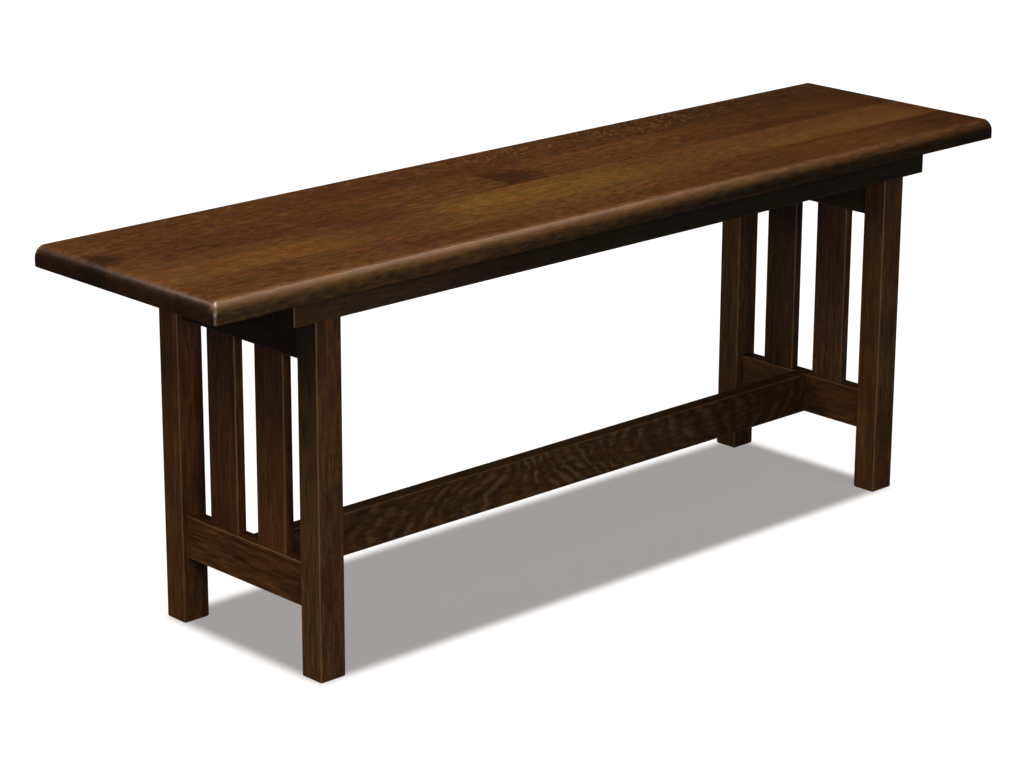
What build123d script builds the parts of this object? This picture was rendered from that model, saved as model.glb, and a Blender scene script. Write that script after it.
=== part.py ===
"""A backless mission bench in quarter-sawn oak: a boarded seat on two slatted end frames and a stretcher.

Millimetres, +Z up. X runs along the bench and Y from front (-Y) to back (+Y).
The origin lies on the floor under the middle of the seat.
"""
from build123d import *
import math
import os

# Seat
seat_length = 1236.0
seat_width = 310.0
seat_thickness = 24.5
seat_height = 457.0
side_arc_radius = 19.4      # the round-over's flat arc, up from the side
top_arc_radius = 7.1        # its tighter arc, into the top
arcs_meet_at = 40.0         # degrees up from level where the two arcs meet
corner_round = 5.0          # seat corners in plan
underside_ease = 0.8
section_overrun = 20.0      # how far the seat's two sections run past each other before they are cut to fit

# Bearers under the seat, laid along the leg tops
bearer_height = 28.5
bearer_reveal = 4.0         # how far a bearer's outer face stands proud of the legs
bearer_overhang = 32.0      # how far a bearer runs past the end frames
bearer_ease = 1.5

# End frames: two legs, two rails and two slats each
seat_overhang_ends = 147.5  # from the seat's end to the legs' outer faces
seat_overhang_sides = 20.5  # from the seat's long edge to the legs' outer faces
leg_along = 34.5            # leg section along the bench
leg_across = 32.0           # leg section across the bench
leg_ease = 1.5
foot_chamfer = 1.5
rail_height = 50.0
rail_thickness = 20.0
rail_ease = 1.0
lower_rail_bottom = 76.5    # clear height under the lower rails and the stretcher
slat_width = 48.0
slat_thickness = 12.0
slat_gap = 34.0             # clear width between the two slats of a frame
slat_ease = 1.0

# Stretcher between the lower rails
stretcher_thickness = 20.0
stretcher_ease = 1.0

# Mortise and tenon joints
tenon_thickness = 10.0
tenon_shoulder = 6.0        # above and below a tenon
rail_tenon_length = 17.0
stretcher_tenon_length = 12.0
slat_tenon_length = 10.0
slat_shoulder = 2.0         # all round a slat's stub tenon
glue_gap = 1.0              # left at the bottom of each mortise and dowel hole

# Dowels between the seat boards
dowel_diameter = 8.0
dowel_length = 40.0
dowel_chamfer = 0.8
dowel_inset = 100.0         # from the seat's end to the first dowel
dowels_per_seam = 5

# Washer-head screws that hold the bearers to the legs and the seat to the bearers
screw_diameter = 4.5
screw_head_diameter = 9.5
screw_head_height = 2.8
screw_tip_length = 5.0
recess_length = 4.4
recess_width = 1.1
recess_depth = 1.6
counterbore_diameter = 10.5
counterbore_depth = 8.0
seat_screw_bite = 13.5
leg_screw_bite = 40.0
seat_screw_inset = 40.0     # from a leg's inner face to the first seat screw
seat_screws_per_bearer = 4

# Places that follow from the sizes above
seat_bottom = seat_height - seat_thickness
meet_cos, meet_sin = math.cos(math.radians(arcs_meet_at)), math.sin(math.radians(arcs_meet_at))
round_over_reach = side_arc_radius * (1 - meet_cos) + top_arc_radius * meet_cos     # in over the top
round_over_drop = side_arc_radius * meet_sin + top_arc_radius * (1 - meet_sin)      # down the side
bearer_bottom = seat_bottom - bearer_height
leg_x = seat_length / 2 - seat_overhang_ends - leg_along / 2
leg_y = seat_width / 2 - seat_overhang_sides - leg_across / 2
leg_inner_y = leg_y - leg_across / 2
rail_length = 2 * leg_inner_y
upper_rail_bottom = bearer_bottom - rail_height
lower_rail_top = lower_rail_bottom + rail_height
tenon_height = rail_height - 2 * tenon_shoulder
rail_mortise_depth = rail_tenon_length + glue_gap
slat_mortise_depth = slat_tenon_length + glue_gap
stretcher_mortise_depth = stretcher_tenon_length + glue_gap
slat_y = slat_gap / 2 + slat_width / 2
rail_inner_x = leg_x - rail_thickness / 2
bearer_outer_y = leg_y + leg_across / 2 + bearer_reveal
bearer_width = bearer_outer_y - leg_inner_y
bearer_y = bearer_outer_y - bearer_width / 2
bearer_length = 2 * (leg_x + leg_along / 2 + bearer_overhang)

SIDES = {"left": -1, "right": 1}
ROWS = {"front": -1, "back": 1}
BOARDS = ("seat_board_front", "seat_board_front_middle", "seat_board_back_middle", "seat_board_back")
board_width = seat_width / len(BOARDS)


def spread(count, reach):
    """Evenly spaced places from -reach to reach."""
    step = 2 * reach / (count - 1)
    return [index * step - reach for index in range(count)]


# Where the seat screws, leg screws and dowels go
seat_screw_xs = spread(seat_screws_per_bearer, leg_x - leg_along / 2 - seat_screw_inset)
leg_screw_y = leg_y + (rail_mortise_depth / 2)
dowel_xs = spread(dowels_per_seam, seat_length / 2 - dowel_inset)
seam_ys = [index * board_width - seat_width / 2 for index in range(1, len(BOARDS))]
dowel_z = seat_height - seat_thickness / 2


def save(piece, label):
    """Names a finished piece and writes it to its own file."""
    piece.part.label = label
    export_step(piece.part, f"parts/{label}.step")


# Seat boards: one blank with its edges worked, then ripped into boards along the seams
def seat_section(width):
    """Outline of the seat's section over a width, with the two-arc round-over on both upper edges."""
    side = width / 2
    flat = side - round_over_reach
    shoulder = seat_height - round_over_drop
    with BuildLine() as outline:
        Polyline((-side, shoulder), (-side, seat_bottom), (side, seat_bottom), (side, shoulder))
        CenterArc((side - side_arc_radius, shoulder), side_arc_radius, 0, arcs_meet_at)
        CenterArc((flat, seat_height - top_arc_radius), top_arc_radius, arcs_meet_at, 90 - arcs_meet_at)
        Line((flat, seat_height), (-flat, seat_height))
        CenterArc((-flat, seat_height - top_arc_radius), top_arc_radius, 90, 90 - arcs_meet_at)
        CenterArc((side_arc_radius - side, shoulder), side_arc_radius, 180 - arcs_meet_at, arcs_meet_at)
    return outline.line


def seat_blank():
    """The round-overs of the sides and of the ends meet in a mitre at each corner, which is then eased."""
    with BuildPart() as blank:
        with BuildSketch(Plane.XZ):
            add(seat_section(seat_length))
            make_face()
        extrude(amount=seat_width / 2 + section_overrun, both=True)
        with BuildSketch(Plane.YZ):
            add(seat_section(seat_width))
            make_face()
        extrude(amount=seat_length / 2 + section_overrun, both=True, mode=Mode.INTERSECT)
        fillet(blank.edges().filter_by(Axis.Z), corner_round)
        fillet(blank.edges().group_by(Axis.Z)[0], underside_ease)
    return blank.part


def make_seat_board(label, index, blank):
    front_y = index * board_width - seat_width / 2
    with BuildPart() as board:
        with BuildSketch(Plane.XY.offset(seat_bottom)):
            with Locations((0, front_y + board_width / 2)):
                Rectangle(seat_length, board_width)
        extrude(amount=seat_thickness)
        add(blank, mode=Mode.INTERSECT)
        for seam_y in seam_ys:
            with Locations(*[(x, seam_y, dowel_z) for x in dowel_xs]):
                Cylinder(dowel_diameter / 2, dowel_length + 2 * glue_gap, rotation=(90, 0, 0), mode=Mode.SUBTRACT)
        with Locations(*[(x, row * bearer_y, seat_bottom) for x in seat_screw_xs for row in ROWS.values()]):
            Cylinder(screw_diameter / 2, 2 * seat_screw_bite, mode=Mode.SUBTRACT)
    save(board, label)


# Bearers: screwed down to the legs from above and up to the seat from counterbores below
def make_bearer(label, row):
    underside = Plane(origin=(0, row * bearer_y, bearer_bottom), x_dir=(1, 0, 0), z_dir=(0, 0, -1))
    with BuildPart() as bearer:
        with BuildSketch(Plane.XY.offset(bearer_bottom)):
            with Locations((0, row * bearer_y)):
                Rectangle(bearer_length, bearer_width)
        extrude(amount=bearer_height)
        bearer_ends = bearer.edges().filter_by(Axis.Z)
        bearer_lower_edges = bearer.edges().group_by(Axis.Z)[0]
        fillet(bearer_ends + bearer_lower_edges, bearer_ease)
        with Locations(underside):
            with Locations(*[(x, 0) for x in seat_screw_xs]):
                CounterBoreHole(screw_diameter / 2, counterbore_diameter / 2, counterbore_depth)
        with Locations(*[(side * leg_x, row * leg_screw_y, seat_bottom) for side in SIDES.values()]):
            CounterBoreHole(screw_diameter / 2, counterbore_diameter / 2, counterbore_depth)
    save(bearer, label)


# Legs: mortised on their inner face for the upper and lower rails
def make_leg(label, side, row):
    mortise_z = [bottom + rail_height / 2 for bottom in (lower_rail_bottom, upper_rail_bottom)]
    with BuildPart() as leg:
        with BuildSketch():
            with Locations((side * leg_x, row * leg_y)):
                Rectangle(leg_along, leg_across)
        extrude(amount=bearer_bottom)
        fillet(leg.edges().filter_by(Axis.Z), leg_ease)
        chamfer(leg.edges().group_by(Axis.Z)[0], foot_chamfer)
        with Locations(*[(side * leg_x, row * leg_inner_y, z) for z in mortise_z]):
            Box(tenon_thickness, 2 * rail_mortise_depth, tenon_height, mode=Mode.SUBTRACT)
        with Locations((side * leg_x, row * leg_screw_y, bearer_bottom)):
            Cylinder(screw_diameter / 2, 2 * leg_screw_bite, mode=Mode.SUBTRACT)
    save(leg, label)


# Rails: tenoned into the legs, mortised for the slats and, on the lower rails, for the stretcher
def make_rail(label, side, bottom, slat_face):
    centre_z = bottom + rail_height / 2
    with BuildPart() as rail:
        with BuildSketch(Plane.XY.offset(bottom)):
            with Locations((side * leg_x, 0)):
                Rectangle(rail_thickness, rail_length)
        extrude(amount=rail_height)
        fillet(rail.edges().filter_by(Axis.Y), rail_ease)
        with Locations((side * leg_x, 0, centre_z)):
            Box(tenon_thickness, rail_length + 2 * rail_tenon_length, tenon_height)
        with Locations(*[(side * leg_x, row * slat_y, slat_face) for row in ROWS.values()]):
            Box(slat_tenon_thickness, slat_tenon_width, 2 * slat_mortise_depth, mode=Mode.SUBTRACT)
        if slat_face == lower_rail_top:
            with Locations((side * rail_inner_x, 0, centre_z)):
                Box(2 * stretcher_mortise_depth, tenon_thickness, tenon_height, mode=Mode.SUBTRACT)
    save(rail, label)


# Slats: upright boards with a stub tenon at each end
slat_length = upper_rail_bottom - lower_rail_top
slat_tenon_thickness = slat_thickness - 2 * slat_shoulder
slat_tenon_width = slat_width - 2 * slat_shoulder


def make_slat(label, side, row):
    with BuildPart() as slat:
        with BuildSketch(Plane.XY.offset(lower_rail_top)):
            with Locations((side * leg_x, row * slat_y)):
                Rectangle(slat_thickness, slat_width)
        extrude(amount=slat_length)
        fillet(slat.edges().filter_by(Axis.Z), slat_ease)
        with Locations((side * leg_x, row * slat_y, lower_rail_top + slat_length / 2)):
            Box(slat_tenon_thickness, slat_tenon_width, slat_length + 2 * slat_tenon_length)
    save(slat, label)


# Stretcher: one long board, tenoned into the inner faces of the lower rails
def make_stretcher(label):
    with BuildPart() as stretcher:
        with BuildSketch(Plane.XY.offset(lower_rail_bottom)):
            Rectangle(2 * rail_inner_x, stretcher_thickness)
        extrude(amount=rail_height)
        fillet(stretcher.edges().filter_by(Axis.X), stretcher_ease)
        with Locations((0, 0, lower_rail_bottom + rail_height / 2)):
            Box(2 * (rail_inner_x + stretcher_tenon_length), tenon_thickness, tenon_height)
    save(stretcher, label)


# Screws: a round head on its counterbore's floor, a plain shank, a point and a cross recess
def make_screws(label, head_places, length):
    with BuildPart() as screws:
        with Locations(*head_places):
            Cylinder(screw_head_diameter / 2, screw_head_height, align=(Align.CENTER, Align.CENTER, Align.MIN))
            Cylinder(screw_diameter / 2, length - screw_tip_length, align=(Align.CENTER, Align.CENTER, Align.MAX))
            with Locations((0, 0, screw_tip_length - length)):
                Cone(0, screw_diameter / 2, screw_tip_length, align=(Align.CENTER, Align.CENTER, Align.MAX))
            with Locations((0, 0, screw_head_height)):
                Box(recess_length, recess_width, 2 * recess_depth, mode=Mode.SUBTRACT)
                Box(recess_width, recess_length, 2 * recess_depth, mode=Mode.SUBTRACT)
    save(screws, label)


# Dowels: across each seam between two seat boards
def make_dowels(label):
    with BuildPart() as dowels:
        with Locations(*[(x, y, dowel_z) for x in dowel_xs for y in seam_ys]):
            Cylinder(dowel_diameter / 2, dowel_length, rotation=(90, 0, 0))
        chamfer(dowels.edges().filter_by(GeomType.CIRCLE), dowel_chamfer)
    save(dowels, label)


os.makedirs("parts", exist_ok=True)

worked_blank = seat_blank()
for board_index, board_label in enumerate(BOARDS):
    make_seat_board(board_label, board_index, worked_blank)

for row_name, row_sign in ROWS.items():
    make_bearer(f"{row_name}_bearer", row_sign)

for side_name, side_sign in SIDES.items():
    make_rail(f"{side_name}_upper_rail", side_sign, upper_rail_bottom, upper_rail_bottom)
    make_rail(f"{side_name}_lower_rail", side_sign, lower_rail_bottom, lower_rail_top)
    for row_name, row_sign in ROWS.items():
        make_leg(f"{row_name}_{side_name}_leg", side_sign, row_sign)
        make_slat(f"{side_name}_{row_name}_slat", side_sign, row_sign)

make_stretcher("stretcher")

# A seat screw's head faces down from its counterbore, a leg screw's head faces up
seat_screw_heads = [Location((x, row * bearer_y, bearer_bottom + counterbore_depth), (180, 0, 0))
                    for x in seat_screw_xs for row in ROWS.values()]
leg_screw_heads = [Location((side * leg_x, row * leg_screw_y, seat_bottom - counterbore_depth))
                   for side in SIDES.values() for row in ROWS.values()]
make_screws("seat_screws", seat_screw_heads, bearer_height - counterbore_depth + seat_screw_bite)
make_screws("leg_screws", leg_screw_heads, bearer_height - counterbore_depth + leg_screw_bite)
make_dowels("seat_dowels")
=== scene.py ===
"""Mission bench: oak finishes, turned fastenings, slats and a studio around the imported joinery.

Metres, +Z up. X runs along the bench, Y from front (-Y) to back (+Y), and the floor is at Z = 0.
"""
import math

import bmesh
import bpy
from bpy.props import FloatProperty, FloatVectorProperty, IntProperty, PointerProperty
from mathutils import Matrix, Vector


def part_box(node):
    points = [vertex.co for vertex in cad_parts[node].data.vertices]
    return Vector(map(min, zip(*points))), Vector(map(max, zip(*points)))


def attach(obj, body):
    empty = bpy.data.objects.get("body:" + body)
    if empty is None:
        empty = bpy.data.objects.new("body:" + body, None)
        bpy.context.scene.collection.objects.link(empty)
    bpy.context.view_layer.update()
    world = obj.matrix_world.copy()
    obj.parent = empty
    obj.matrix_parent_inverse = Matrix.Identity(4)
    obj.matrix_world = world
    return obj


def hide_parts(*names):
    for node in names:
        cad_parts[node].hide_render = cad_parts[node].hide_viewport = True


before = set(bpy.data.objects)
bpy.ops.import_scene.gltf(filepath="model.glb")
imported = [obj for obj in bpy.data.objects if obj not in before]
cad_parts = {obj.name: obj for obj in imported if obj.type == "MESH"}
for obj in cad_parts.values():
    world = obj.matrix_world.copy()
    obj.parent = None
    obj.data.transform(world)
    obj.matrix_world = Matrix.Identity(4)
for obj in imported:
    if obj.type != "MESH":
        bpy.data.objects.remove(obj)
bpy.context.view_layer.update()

bl_info = {
    "name": "Mission Bench",
    "version": (1, 0, 0),
    "blender": (4, 5, 0),
    "location": "3D View > Sidebar > Bench",
    "description": "Finishes a backless mission bench in stained oak and sets it in a plain studio",
    "category": "Object",
}

SEAT_BOARDS = ("seat_board_front", "seat_board_front_middle", "seat_board_back_middle", "seat_board_back")
SLATS = ("left_front_slat", "left_back_slat", "right_front_slat", "right_back_slat")


def extent(*nodes):
    """The lowest and highest corners round several pieces of the joinery."""
    corners = [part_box(node) for node in nodes]
    low = Vector([min(c[0][axis] for c in corners) for axis in range(3)])
    high = Vector([max(c[1][axis] for c in corners) for axis in range(3)])
    return low, high


# ---- Sizes read off the joinery ----
SEAT_LOW, SEAT_HIGH = extent(*SEAT_BOARDS)
SLAT_LOW, SLAT_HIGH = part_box("right_back_slat")
LOWER_RAIL_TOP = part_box("right_lower_rail")[1].z
UPPER_RAIL_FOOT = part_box("right_upper_rail")[0].z
FRAME_CENTRE_X = (SLAT_LOW.x + SLAT_HIGH.x) / 2
SCREW_LOW, SCREW_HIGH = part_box("seat_screws")
LEG_SCREW_LOW, LEG_SCREW_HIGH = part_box("leg_screws")
DOWEL_LOW, DOWEL_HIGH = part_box("seat_dowels")


# ---- What a user may change ----
COLOUR = {"subtype": "COLOR", "size": 3, "min": 0, "max": 1}


class BenchFinish(bpy.types.PropertyGroup):
    """Stain, lacquer and wear of the oak, and the painted highlight along its edges."""

    golden: FloatVectorProperty(name="Golden stain", description="Stain where the oak takes least of it",
                                default=(0.152, 0.059, 0.0090), **COLOUR)
    brown: FloatVectorProperty(name="Brown stain", description="Stain on most of the oak",
                               default=(0.086, 0.0300, 0.0065), **COLOUR)
    pore: FloatVectorProperty(name="Filled pores", description="Stain that sits in the open pores",
                              default=(0.020, 0.009, 0.0045), **COLOUR)
    ray: FloatVectorProperty(name="Ray flecks", description="Hard silvery rays that take little stain",
                             default=(0.200, 0.105, 0.040), **COLOUR)
    # Lighter edge colour: stain that sanding and hands take off, and a painted highlight on the eased and rounded edges
    worn_and_highlight: FloatVectorProperty(name="Rubbed edges", description="Edges where sanding and hands thin the stain",
                              default=(0.290, 0.140, 0.052), **COLOUR)
    dowel: FloatVectorProperty(name="Beech dowels", description="Raw wood of the hidden dowels",
                               default=(0.52, 0.32, 0.16), **COLOUR)
    zinc: FloatVectorProperty(name="Zinc plate", description="Plating on the screws",
                              default=(0.62, 0.60, 0.52), **COLOUR)


class BenchParts(bpy.types.PropertyGroup):
    """Sizes of the pieces that repeat."""

    slat_width: FloatProperty(name="Slat width", description="Width of a slat across the bench", unit="LENGTH",
                              default=SLAT_HIGH.y - SLAT_LOW.y)
    slat_thickness: FloatProperty(name="Slat thickness", description="Thickness of a slat along the bench",
                                  unit="LENGTH", default=SLAT_HIGH.x - SLAT_LOW.x)
    slat_gap: FloatProperty(name="Slat gap", description="Clear width between the slats of a frame", unit="LENGTH",
                            default=2 * SLAT_LOW.y)
    slat_ease: FloatProperty(name="Slat edge", description="Radius of a slat's eased edges", unit="LENGTH",
                             default=0.0010)
    screw_head: FloatProperty(name="Screw head", description="Diameter of a washer head", unit="LENGTH", default=0.0095)
    screw_shank: FloatProperty(name="Screw thread", description="Diameter over the thread", unit="LENGTH",
                               default=0.0045)
    dowel_diameter: FloatProperty(name="Dowel", description="Diameter of a fluted dowel", unit="LENGTH",
                                  default=DOWEL_HIGH.z - DOWEL_LOW.z)
    dowel_flutes: IntProperty(name="Dowel flutes", description="Glue grooves round a dowel", default=16, min=6, max=40)


class BenchStudio(bpy.types.PropertyGroup):
    """Floor, lamps and camera."""

    floor: FloatVectorProperty(name="Floor", description="Colour of the floor", default=(0.80, 0.79, 0.78), **COLOUR)
    # The shade is a painted shadow on the floor between the legs
    shade: FloatProperty(name="Shade", description="Brightness of the floor between the legs, next to the open floor",
                         default=0.327, min=0, max=1)
    lamp_level: FloatProperty(name="Lamp level", description="Brightness of all the lamps together", default=1.0, min=0)
    lens: FloatProperty(name="Lens", description="Focal length of the camera in millimetres", default=109.6)


# ---- Joining nodes ----
class Wiring:
    """Adds nodes to a tree and joins them. An input is a number, a vector or another node's output."""

    def __init__(self, tree):
        self.tree = tree
        tree.nodes.clear()

    def feed(self, socket, value):
        if isinstance(value, bpy.types.NodeSocket):
            self.tree.links.new(value, socket)
        elif value is not None:
            socket.default_value = value

    def add(self, kind, inputs=None, **settings):
        made = self.tree.nodes.new(kind)
        for name, value in settings.items():
            setattr(made, name, value)
        for key, value in (inputs or {}).items():
            self.feed(made.inputs[key], value)
        return made

    def math(self, operation, *terms, clamp=False):
        return self.add("ShaderNodeMath", dict(enumerate(terms)), operation=operation, use_clamp=clamp).outputs[0]

    def plus(self, first, second, clamp=False):
        return self.math("ADD", first, second, clamp=clamp)

    def minus(self, first, second, clamp=False):
        return self.math("SUBTRACT", first, second, clamp=clamp)

    def times(self, first, *others):
        for other in others:
            first = self.math("MULTIPLY", first, other)
        return first

    def vector(self, operation, *terms):
        made = self.add("ShaderNodeVectorMath", dict(enumerate(terms)), operation=operation)
        return made.outputs["Value" if operation in ("LENGTH", "DOT_PRODUCT") else "Vector"]

    def scaled(self, vector, factor):
        return self.add("ShaderNodeVectorMath", {0: vector, "Scale": factor}, operation="SCALE").outputs["Vector"]

    def split(self, vector):
        return self.add("ShaderNodeSeparateXYZ", {0: vector}).outputs

    def join(self, x, y, z):
        return self.add("ShaderNodeCombineXYZ", {0: x, 1: y, 2: z}).outputs[0]

    def blend(self, share, first, second):
        """Mixes two colours, each another node's output or three numbers."""
        made = self.add("ShaderNodeMix", data_type="RGBA", clamp_factor=True)
        self.feed(made.inputs[0], share)
        for socket, value in zip([s for s in made.inputs if s.type == "RGBA"], (first, second)):
            self.feed(socket, value if isinstance(value, bpy.types.NodeSocket) else (*value, 1.0))
        return [s for s in made.outputs if s.type == "RGBA"][0]

    def fade(self, value, start, end, low=0.0, high=1.0):
        """Runs smoothly from low at start to high at end."""
        ends = {0: value, 1: start, 2: end, 3: low, 4: high}
        return self.add("ShaderNodeMapRange", ends, interpolation_type="SMOOTHSTEP").outputs[0]

    def noise(self, where, detail=2.0, roughness=0.5, distortion=0.0, colour=False):
        made = self.add("ShaderNodeTexNoise", {"Vector": where, "Scale": 1.0, "Detail": detail,
                                               "Roughness": roughness, "Distortion": distortion})
        return made.outputs["Color" if colour else "Fac"]

    def stretched_noise(self, where, along, across, through, **settings):
        """Noise with its own fineness, in features per metre, along the grain, across it and through it."""
        return self.noise(self.vector("MULTIPLY", where, (along, across, through)), **settings)

    def bump(self, height, strength, distance):
        return self.add("ShaderNodeBump", {"Strength": strength, "Distance": distance, "Height": height}).outputs[0]

    def surface(self, shader):
        self.add("ShaderNodeOutputMaterial", {"Surface": shader.outputs[0]})


def new_material(name):
    material = bpy.data.materials.new(name)
    material.use_nodes = True
    return material, Wiring(material.node_tree)


# ---- Stained oak ----
# Turns that lay a piece's grain along the log, and the axis of the piece that its end grain faces
ALONG_X = (0.0, 0.0, 0.0)
ALONG_Y = (0.0, 0.0, math.radians(-90))
ALONG_Z = (0.0, math.radians(90), 0.0)
END_AXIS = {ALONG_X: (1, 0, 0), ALONG_Y: (0, 1, 0), ALONG_Z: (0, 0, 1)}

UNCHANGED = (1.0, 1.0, 1.0)         # the gain of a colour that stays as it is
LOG_BEND = 0.020                    # metres that the growth rings wander
RED_DRIFT = (1.05, 0.95, 1.03)      # the stain where it leans to red
GOLD_DRIFT = (0.95, 1.01, 0.99)     # the stain where it leans to gold
ARC_SWIRL = 0.25                    # metres that the ray bands curl
ARC_RIPPLE = 1.15                   # bands that their small ripples reach over
STRAY_FLECKS = 0.12                 # flecks outside a piece's zone of flecks
END_GRAIN = 0.22                    # brightness of end grain, which drinks more stain
EDGE_WEAR_AND_HIGHLIGHT = 0.6                     # stain that sanding and hands take off an edge, with the painted highlight that the lighter edge gives
SPARED_WEAR_AND_HIGHLIGHT = 0.8                   # wear and painted highlight that a spared place is without
LACQUER_ROUGHNESS = 0.29
CROSS_CUT_BLUR = 0.002              # metres on each side of a sharp border of stain


class Cut:
    """How one piece is cut from the log, how it took the stain, and the painted light and shade on it."""

    tone = UNCHANGED                # its colour next to the plain stain, which for some pieces is painted shade
    golden = 0.3                    # share of golden stain
    cloud = 0.5                     # strength of the broad clouds of stain
    mottle = 1.0                    # strength of the rings, dashes and streaks
    dashes = (65.0, 300.0)          # short dashes in a metre, along the grain and across it
    pores = 0.5                     # strength of the dark pores
    flecks = 0.0                    # strength of the ray flecks
    fleck_grid = (380.0, 110.0)     # flecks in a metre, along their line and across it
    fleck_lean = 34.0               # degrees between the flecks and the grain
    fleck_zone = None               # a patch full of flecks
    arcs = 0.0                      # strength of the curled ray bands
    arc_turn = 0.0                  # radians between the bands and a straight cross-cut
    arc_spacing = 0.013             # metres from band to band
    face = None                     # axis of the faces with ray figure, or None for all faces
    edges = "XYZ"                   # axes whose ends count as edges with wear and painted highlight
    wear_highlight_strength = 1.0                    # strength of the wear and painted highlight along the edges
    wear_highlight_reach = 0.0022           # metres that the wear and painted highlight reach
    spared = None                   # a patch with little wear and painted highlight
    mirrored = False                # True where one body stands for its mirror images too
    gloss = 0.30                    # weight of the lacquer
    patches = ()                    # places that took more or less stain, or that carry painted light and shade

    def __init__(self, grain, log, body, **settings):
        """Its turn, its place in the log, its two outer corners and the settings above that it has for itself."""
        self.grain, self.log, self.body = grain, log, body
        for name, value in settings.items():
            if not hasattr(Cut, name):
                raise AttributeError(f"a cut has no {name}")
            setattr(self, name, value)


class Patch:
    """A place on a board that took more or less stain, or that carries painted light or shade: its middle, its reach,
    its colour and how soft its border is.
    """

    def __init__(self, middle, reach, gain=UNCHANGED, soft=0.6, cut_end=None):
        self.middle = middle
        self.reach = reach
        self.gain = gain
        self.soft = soft
        self.cut_end = cut_end


def patch_share(w, place, patch):
    """One inside a patch, zero outside it, with a soft border or with one sharp cross-cut end."""
    inside = [1.0 / reach if reach else 0.0 for reach in patch.reach]
    away = w.vector("LENGTH", w.vector("MULTIPLY", w.vector("SUBTRACT", place, patch.middle), inside))
    share = w.fade(away, 1.0 + patch.soft, 1.0 - patch.soft)
    if patch.cut_end is None:
        return share
    return w.times(share, w.fade(w.split(place)[0], patch.cut_end - CROSS_CUT_BLUR, patch.cut_end + CROSS_CUT_BLUR))


def edge_distance(w, place, low, high, axes):
    """How far a point of a surface is from the nearest edge of its piece."""
    gaps = []
    for axis, coordinate, least, most in zip("XYZ", w.split(place), low, high):
        if axis in axes:
            gaps.append(w.minus((most - least) / 2, w.math("ABSOLUTE", w.minus(coordinate, (least + most) / 2))))
    if len(gaps) == 2:
        return w.math("MAXIMUM", *gaps)
    nearer, further = w.math("MINIMUM", gaps[0], gaps[1]), w.math("MAXIMUM", gaps[0], gaps[1])
    return w.math("MAXIMUM", nearer, w.math("MINIMUM", further, gaps[2]))


def swing(w, value, strength):
    """A noise value as a swing of brightness round one."""
    return w.plus(w.times(w.minus(value, 0.5), strength), 1.0)


def grain_noises(w, turned, cut):
    """Growth rings, short dashes, fine streaks and open pores, in a log that grew a little crooked."""
    bend = w.stretched_noise(turned, 1.6, 5.0, 5.0, detail=2.0, colour=True)
    bend = w.vector("MULTIPLY", w.vector("SUBTRACT", bend, (0.5, 0.5, 0.5)), (0.0, LOG_BEND, LOG_BEND))
    fibre = w.vector("ADD", turned, bend)
    along, across = cut.dashes
    rings = w.stretched_noise(fibre, 2.0, 130.0, 70.0, detail=3.0, roughness=0.6)
    dashes = w.stretched_noise(fibre, along, across, 0.75 * across, detail=3.0, roughness=0.65, distortion=0.25)
    streaks = w.stretched_noise(fibre, 24.0, 900.0, 600.0, detail=2.0, roughness=0.65)
    pits = w.stretched_noise(fibre, 110.0, 1100.0, 1000.0, detail=1.0)
    return rings, dashes, streaks, w.times(w.fade(pits, 0.54, 0.68), w.fade(rings, 0.35, 0.62, 0.35, 1.0))


def stained_grain(w, turned, noises, cut, finish):
    """Clouds of brown and golden stain over the grain, which drift a little between red and gold."""
    rings, dashes, streaks, pores = noises
    cloud = w.stretched_noise(turned, 4.0, 18.0, 18.0, detail=3.0, roughness=0.6)
    share = w.plus(w.times(w.minus(cloud, 0.5), 2.4 * cut.cloud), w.times(w.minus(dashes, 0.5), 1.6 * cut.mottle))
    colour = w.blend(w.plus(share, cut.golden, clamp=True), finish.brown, finish.golden)
    for value, strength in ((rings, 0.9), (dashes, 1.7), (streaks, 1.0)):
        colour = w.scaled(colour, swing(w, value, strength * cut.mottle))
    drift = w.fade(w.stretched_noise(turned, 14.0, 70.0, 70.0, detail=2.5), 0.36, 0.64)
    colour = w.vector("MULTIPLY", colour, w.blend(drift, RED_DRIFT, GOLD_DRIFT))
    return w.blend(w.times(pores, cut.pores), colour, finish.pore)


def ray_arcs(w, turned, dashes, cut):
    """Curled bands where the saw ran along the rays, as a light share and a dark share."""
    swirl = w.stretched_noise(turned, 4.4, 12.0, 12.0, detail=1.2, roughness=0.4)
    along, across, through = w.split(turned)
    lean = w.plus(w.times(along, math.cos(cut.arc_turn)), w.times(w.plus(across, through), math.sin(cut.arc_turn)))
    phase = w.plus(w.times(lean, 1.0 / cut.arc_spacing), w.times(swirl, ARC_SWIRL / cut.arc_spacing))
    ripple = w.stretched_noise(turned, 80.0, 120.0, 120.0, detail=3.0)
    wave = w.math("SINE", w.times(w.plus(phase, w.times(ripple, ARC_RIPPLE)), 2 * math.pi))
    gaps = w.stretched_noise(turned, 40.0, 60.0, 60.0, detail=2.0)
    broken = w.fade(w.plus(gaps, w.times(dashes, 0.6)), 0.70, 0.96)
    return w.times(w.fade(wave, 0.05, 0.95), broken), w.fade(wave, -0.1, -0.95)


def ray_flecks(w, place, turned, cut):
    """Short slanting flecks that come and go along a board."""
    lean = (0.0, 0.0, math.radians(cut.fleck_lean))
    tipped = w.add("ShaderNodeMapping", {"Vector": turned, "Rotation": lean}).outputs[0]
    along, across = cut.fleck_grid
    fleck = w.fade(w.stretched_noise(tipped, along, across, across, detail=2.0), 0.54, 0.72)
    zone = w.fade(w.stretched_noise(turned, 6.0, 16.0, 16.0, detail=1.0), 0.42, 0.60)
    if cut.fleck_zone:
        zone = w.math("MAXIMUM", w.times(zone, STRAY_FLECKS), patch_share(w, place, cut.fleck_zone))
    return w.times(fleck, zone)


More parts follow.
